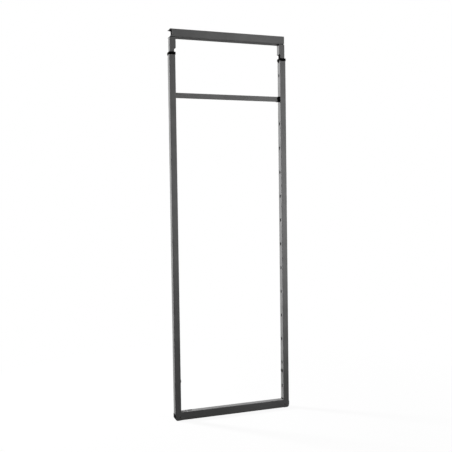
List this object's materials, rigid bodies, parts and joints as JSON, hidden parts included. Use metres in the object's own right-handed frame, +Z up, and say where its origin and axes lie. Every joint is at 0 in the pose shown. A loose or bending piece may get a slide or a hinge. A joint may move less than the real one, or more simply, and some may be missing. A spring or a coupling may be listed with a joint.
{
  "type": "pull-out pantry frame",
  "caption": "Tall rectangular pull-out larder frame with hook-slotted tube posts, a telescoping top section, a crossbar and a bottom bar.",
  "frame": {"origin": "middle of the underside of the bottom bar, where it sits on its runner, midway through the posts", "axes": "+Z up, -X towards the front of the pull-out, +Y the side that the top bar's channel opens to"},
  "size_m": [0.4996, 0.0418, 1.549],
  "materials": {
    "grey_coated_steel": "satin grey powder coat",
    "black_moulded_plastic": "fine moulded texture",
    "zinc_plated_steel": "bright zinc plate"
  },
  "bodies": {
    "lower_frame": {"front_post": "grey_coated_steel", "rear_post": "grey_coated_steel", "bottom_bar": "grey_coated_steel", "front_base_plug": "black_moulded_plastic", "rear_base_plug": "black_moulded_plastic", "base_plug_screws": "zinc_plated_steel", "basket_stop_screws": "zinc_plated_steel", "front_collar": "black_moulded_plastic", "rear_collar": "black_moulded_plastic", "crossbar": "grey_coated_steel", "crossbar_front_hook": "black_moulded_plastic", "crossbar_rear_clip": "black_moulded_plastic", "crossbar_rivets": "zinc_plated_steel", "clamp_nuts": "zinc_plated_steel", "clamp_washers": "zinc_plated_steel"},
    "upper_section": {"top_bar": "grey_coated_steel", "front_riser": "grey_coated_steel", "rear_riser": "grey_coated_steel", "front_top_stop": "black_moulded_plastic", "rear_top_stop": "black_moulded_plastic", "top_stop_screws": "zinc_plated_steel", "front_glide_shoe": "black_moulded_plastic", "rear_glide_shoe": "black_moulded_plastic", "glide_shoe_rivets": "zinc_plated_steel"},
    "front_screw": {"front_clamp_screw": "zinc_plated_steel"},
    "rear_screw": {"rear_clamp_screw": "zinc_plated_steel"}
  },
  "joints": [
    {"name": "height_adjust", "type": "slide", "parent": "lower_frame", "child": "upper_section", "axis": [0, 0, 1], "range_m": [-0.0105, 0.4]},
    {"name": "front_clamp_turn", "type": "hinge", "parent": "lower_frame", "child": "front_screw", "pos_m": [-0.23625, 0, 1.42], "axis": [0, 1, 0], "range_deg": [0, 360]},
    {"name": "rear_clamp_turn", "type": "hinge", "parent": "lower_frame", "child": "rear_screw", "pos_m": [0.23625, 0, 1.42], "axis": [0, 1, 0], "range_deg": [0, 360]}
  ]
}
